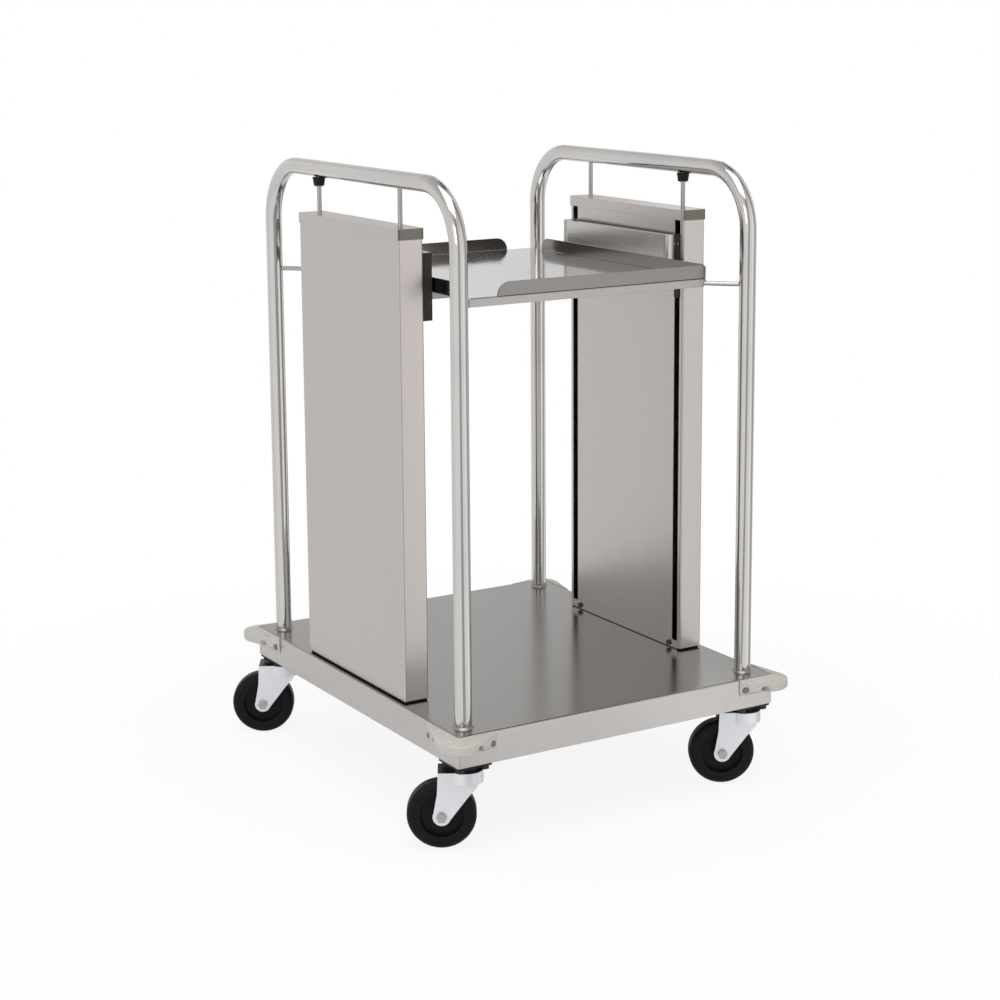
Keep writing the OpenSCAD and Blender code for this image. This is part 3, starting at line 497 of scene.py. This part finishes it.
def bumper(name, sign_x, sign_y):
    """Stations run along the X arm, fan round the pan's corner and run back along the Y arm.

    In the fan the width is -k + sqrt(k^2 - 2 bite^2 + r^2), k = bite (cos a + sin a)."""
    sx, wx = bumper_outline(REACH_X)
    sy, wy = (v[::-1] for v in bumper_outline(REACH_Y))
    a = np.linspace(math.pi / 2, 0, ON_CORNER + 2)[1:-1]
    k = BITE * (np.cos(a) + np.sin(a))
    wa = -k + np.sqrt(k**2 - 2 * BITE**2 + NOSE_R**2)
    parts = (
        (np.c_[-sx, 0 * sx], np.c_[0 * sx, 0 * sx + 1], wx, sx, SCREWS_X),
        (np.c_[0 * a, 0 * a], np.c_[np.cos(a), np.sin(a)], wa, a, ()),
        (np.c_[0 * sy, -sy], np.c_[0 * sy + 1, 0 * sy], wy, sy, SCREWS_Y),
    )
    rows = []
    for foot, way, width, along, screws in parts:
        depth, height = bumper_section(width)
        depth = sink(depth, height, along, screws) + GAP
        xy = np.array(PAN_CORNER[:2]) + foot[:, None] + way[:, None] * depth[..., None]
        rows.append(np.concatenate([xy, height[..., None] + PAN_CORNER[2]], axis=2))
    points = np.concatenate(rows) * (sign_x, sign_y, 1)
    count, around = points.shape[:2]
    i, j = np.meshgrid(np.arange(count - 1), np.arange(around), indexing="ij")
    a, b = i * around + j, i * around + (j + 1) % around
    faces = np.stack([a, b, b + around, a + around], axis=-1).reshape(-1, 4)
    ends = [np.arange(around)[::-1], np.arange(around) + (count - 1) * around]
    if sign_x * sign_y > 0:  # so that all four have their faces pointing out
        faces, ends = faces[:, ::-1], [e[::-1] for e in ends]
    faces = faces.tolist() + [e.tolist() for e in ends]
    mesh = bpy.data.meshes.new(name)
    mesh.from_pydata(points.reshape(-1, 3).tolist(), [], faces)
    mesh.shade_smooth()
    mesh.set_sharp_from_angle(angle=math.radians(40))
    obj = bpy.data.objects.new(name, mesh)
    bpy.context.scene.collection.objects.link(obj)
    return obj


def vinyl():
    """Skin in cells of 1.4 mm, a cloud of 33 mm, and scuffs, which are paler and duller."""
    m = Material("bumper_vinyl", Specular_IOR_Level=0.45)
    skin = m.noise(m.place(), 700.0, 2.0)
    cloud = m.noise(m.place(), 30.0, 3.0, 0.6)
    scuff = m.noise(m.place((60, 60, 260)), 1.0, 4.0, 0.6).between(0.56, 0.66)
    base = m.mix(cloud, (0.48, 0.465, 0.425), (0.58, 0.562, 0.52))
    m.set(
        Base_Color=m.mix(scuff * 0.35, base, (0.70, 0.69, 0.66)),
        Roughness=(skin - 0.5) * 0.15 + (cloud - 0.5) * 0.12 + scuff * 0.12 + 0.38,
        Normal=m.relief(skin, 0.1, 0.0004, 0.001),
    )
    return m


bumper_vinyl = vinyl()
for end, sign_y in (("f", -1), ("b", 1)):
    for hand, sign_x in (("l", -1), ("r", 1)):
        piece = bumper("moulded_bumper_" + end + hand, sign_x, sign_y)
        piece.data.materials.append(bumper_vinyl.data)
        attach(piece, "base")
        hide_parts("bumper_" + end + hand)


# Studio: a pale floor and a white backdrop. To metal the room is not even: it has soft darker
# flags at the sides, which draw the lines along the polished tubes. Three large lamps.


# Sine and cosine of the camera's azimuth, 31.1 degrees.
CAMERA_SIN, CAMERA_COS = 0.517, 0.856
# The far wall begins between these angles and is darker by the third number.
WALL_LOW, WALL_HIGH, WALL_DEPTH = 2.3, 2.7, 0.18
# Flags: angle from, angle to, half the width of their soft edges, depth.
FLAGS = (
    (-2.30, -1.15, 0.12, 0.10),
    (-0.06, 0.34, 0.06, 0.55),
    (0.94, 1.20, 0.06, -0.20),
    (1.45, 2.05, 0.12, 0.50),
    (2.60, 3.05, 0.12, 0.50),
)


def surround(n, x, y):
    """Brightness of the room in the horizontal direction (x, y), for rays that leave metal.

    h is the angle from the photograph's camera, to its right, in radians. A flag is a smooth
    dip in brightness from one angle to another, and one of negative depth is a bright screen."""
    side = x * CAMERA_COS - y * CAMERA_SIN
    front = x * -CAMERA_SIN - y * CAMERA_COS
    h = side.math("ARCTAN2", front)
    room = 1.0 - h.math("ABSOLUTE").between(WALL_LOW, WALL_HIGH) * WALL_DEPTH
    for low, high, soft, depth in FLAGS:
        inside = h.between(low - soft, low + soft)
        room = room - inside * (1.0 - h.between(high - soft, high + soft)) * depth
    return room


# Near the object: how white the floor is to the camera, and how much of the room metal sees.
NEAR_WHITE, NEAR_GLOW = 0.88, 0.6


def studio_floor(size):
    """A square sheet at z = 0. To the camera it fades from 88 % white at the object, where its
    shadow shows, to pure white 1.3 m out, and metal sees the room in it, more so 1.2 m out."""
    s = size / 2
    mesh = bpy.data.meshes.new("studio_floor")
    mesh.from_pydata([(-s, -s, 0), (s, -s, 0), (s, s, 0), (-s, s, 0)], [], [(0, 1, 2, 3)])
    obj = bpy.data.objects.new("studio_floor", mesh)
    bpy.context.scene.collection.objects.link(obj)
    m = Material("studio_floor", Base_Color=(0.9, 0.9, 0.9), Roughness=1.0)
    m.set(Specular_IOR_Level=0.0)
    at = m.node("TexCoord", output="Object")
    x, y = (m.node("SeparateXYZ", output=i, Vector=at) for i in range(2))
    away = m.node("VectorMath", {"operation": "LENGTH"}, output="Value", i0=at)
    camera_ray = m.node("LightPath", output="Is Camera Ray")
    metal_ray = m.node("LightPath", output="Is Glossy Ray")
    room = surround(m, x, y)
    strength = camera_ray + (1.0 - camera_ray) * room
    white = m.node("Emission", Color=(1.0, 1.0, 1.0), Strength=strength)
    fade = camera_ray * (away.between(0.45, 1.3) * (1 - NEAR_WHITE) + NEAR_WHITE)
    glow = metal_ray * (away.between(0.3, 1.2) * (1 - NEAR_GLOW) + NEAR_GLOW)
    lit = Socket(m.tree, m.shader.outputs[0])
    both = m.node("MixShader", i0=fade.math("MAXIMUM", glow), i1=lit, i2=white)
    m.put(m.tree.nodes["Material Output"].inputs["Surface"], both)
    mesh.materials.append(m.data)


def studio_world():
    """White to the camera. To other rays the room, 40 % darker overhead than at the horizon."""
    world = bpy.data.worlds.new("studio")
    bpy.context.scene.world = world
    world.use_nodes = True
    w = Nodes(world.node_tree)
    w.tree.nodes.clear()
    way = w.node("TexCoord", output="Generated")
    x, y, z = (w.node("SeparateXYZ", output=i, Vector=way) for i in range(3))
    room = surround(w, x, y) * (1.0 - z.between(0.15, 1.0) * 0.4)
    grey = w.node("CombineColor", i0=room, i1=room * 0.99, i2=room * 0.985)
    lit = w.node("Background", Color=grey, Strength=1.0)
    white = w.node("Background", Color=(1.0, 1.0, 1.0), Strength=1.0)
    both = w.node("MixShader", i0=w.node("LightPath", output="Is Camera Ray"), i1=lit, i2=white)
    w.node("OutputWorld", output=None, Surface=both)


def lamp(name, at, towards, size, power):
    """A square area lamp."""
    data = bpy.data.lights.new(name, "AREA")
    data.size, data.energy = size, power
    obj = bpy.data.objects.new(name, data)
    bpy.context.scene.collection.objects.link(obj)
    obj.location = at
    obj.rotation_euler = (Vector(towards) - Vector(at)).to_track_quat("-Z", "Y").to_euler()


studio_floor(size=60)
studio_world()
lamp("overhead", (-0.6, -0.8, 3.6), (0, 0, 0.4), size=2.6, power=52)
lamp("front_left", (-3.2, -2.6, 2.0), (0, 0, 0.5), size=1.6, power=14)
lamp("back_right", (2.8, 2.4, 2.4), (0, 0, 0.6), size=1.6, power=8)
bpy.context.scene.view_settings.view_transform = "Standard"
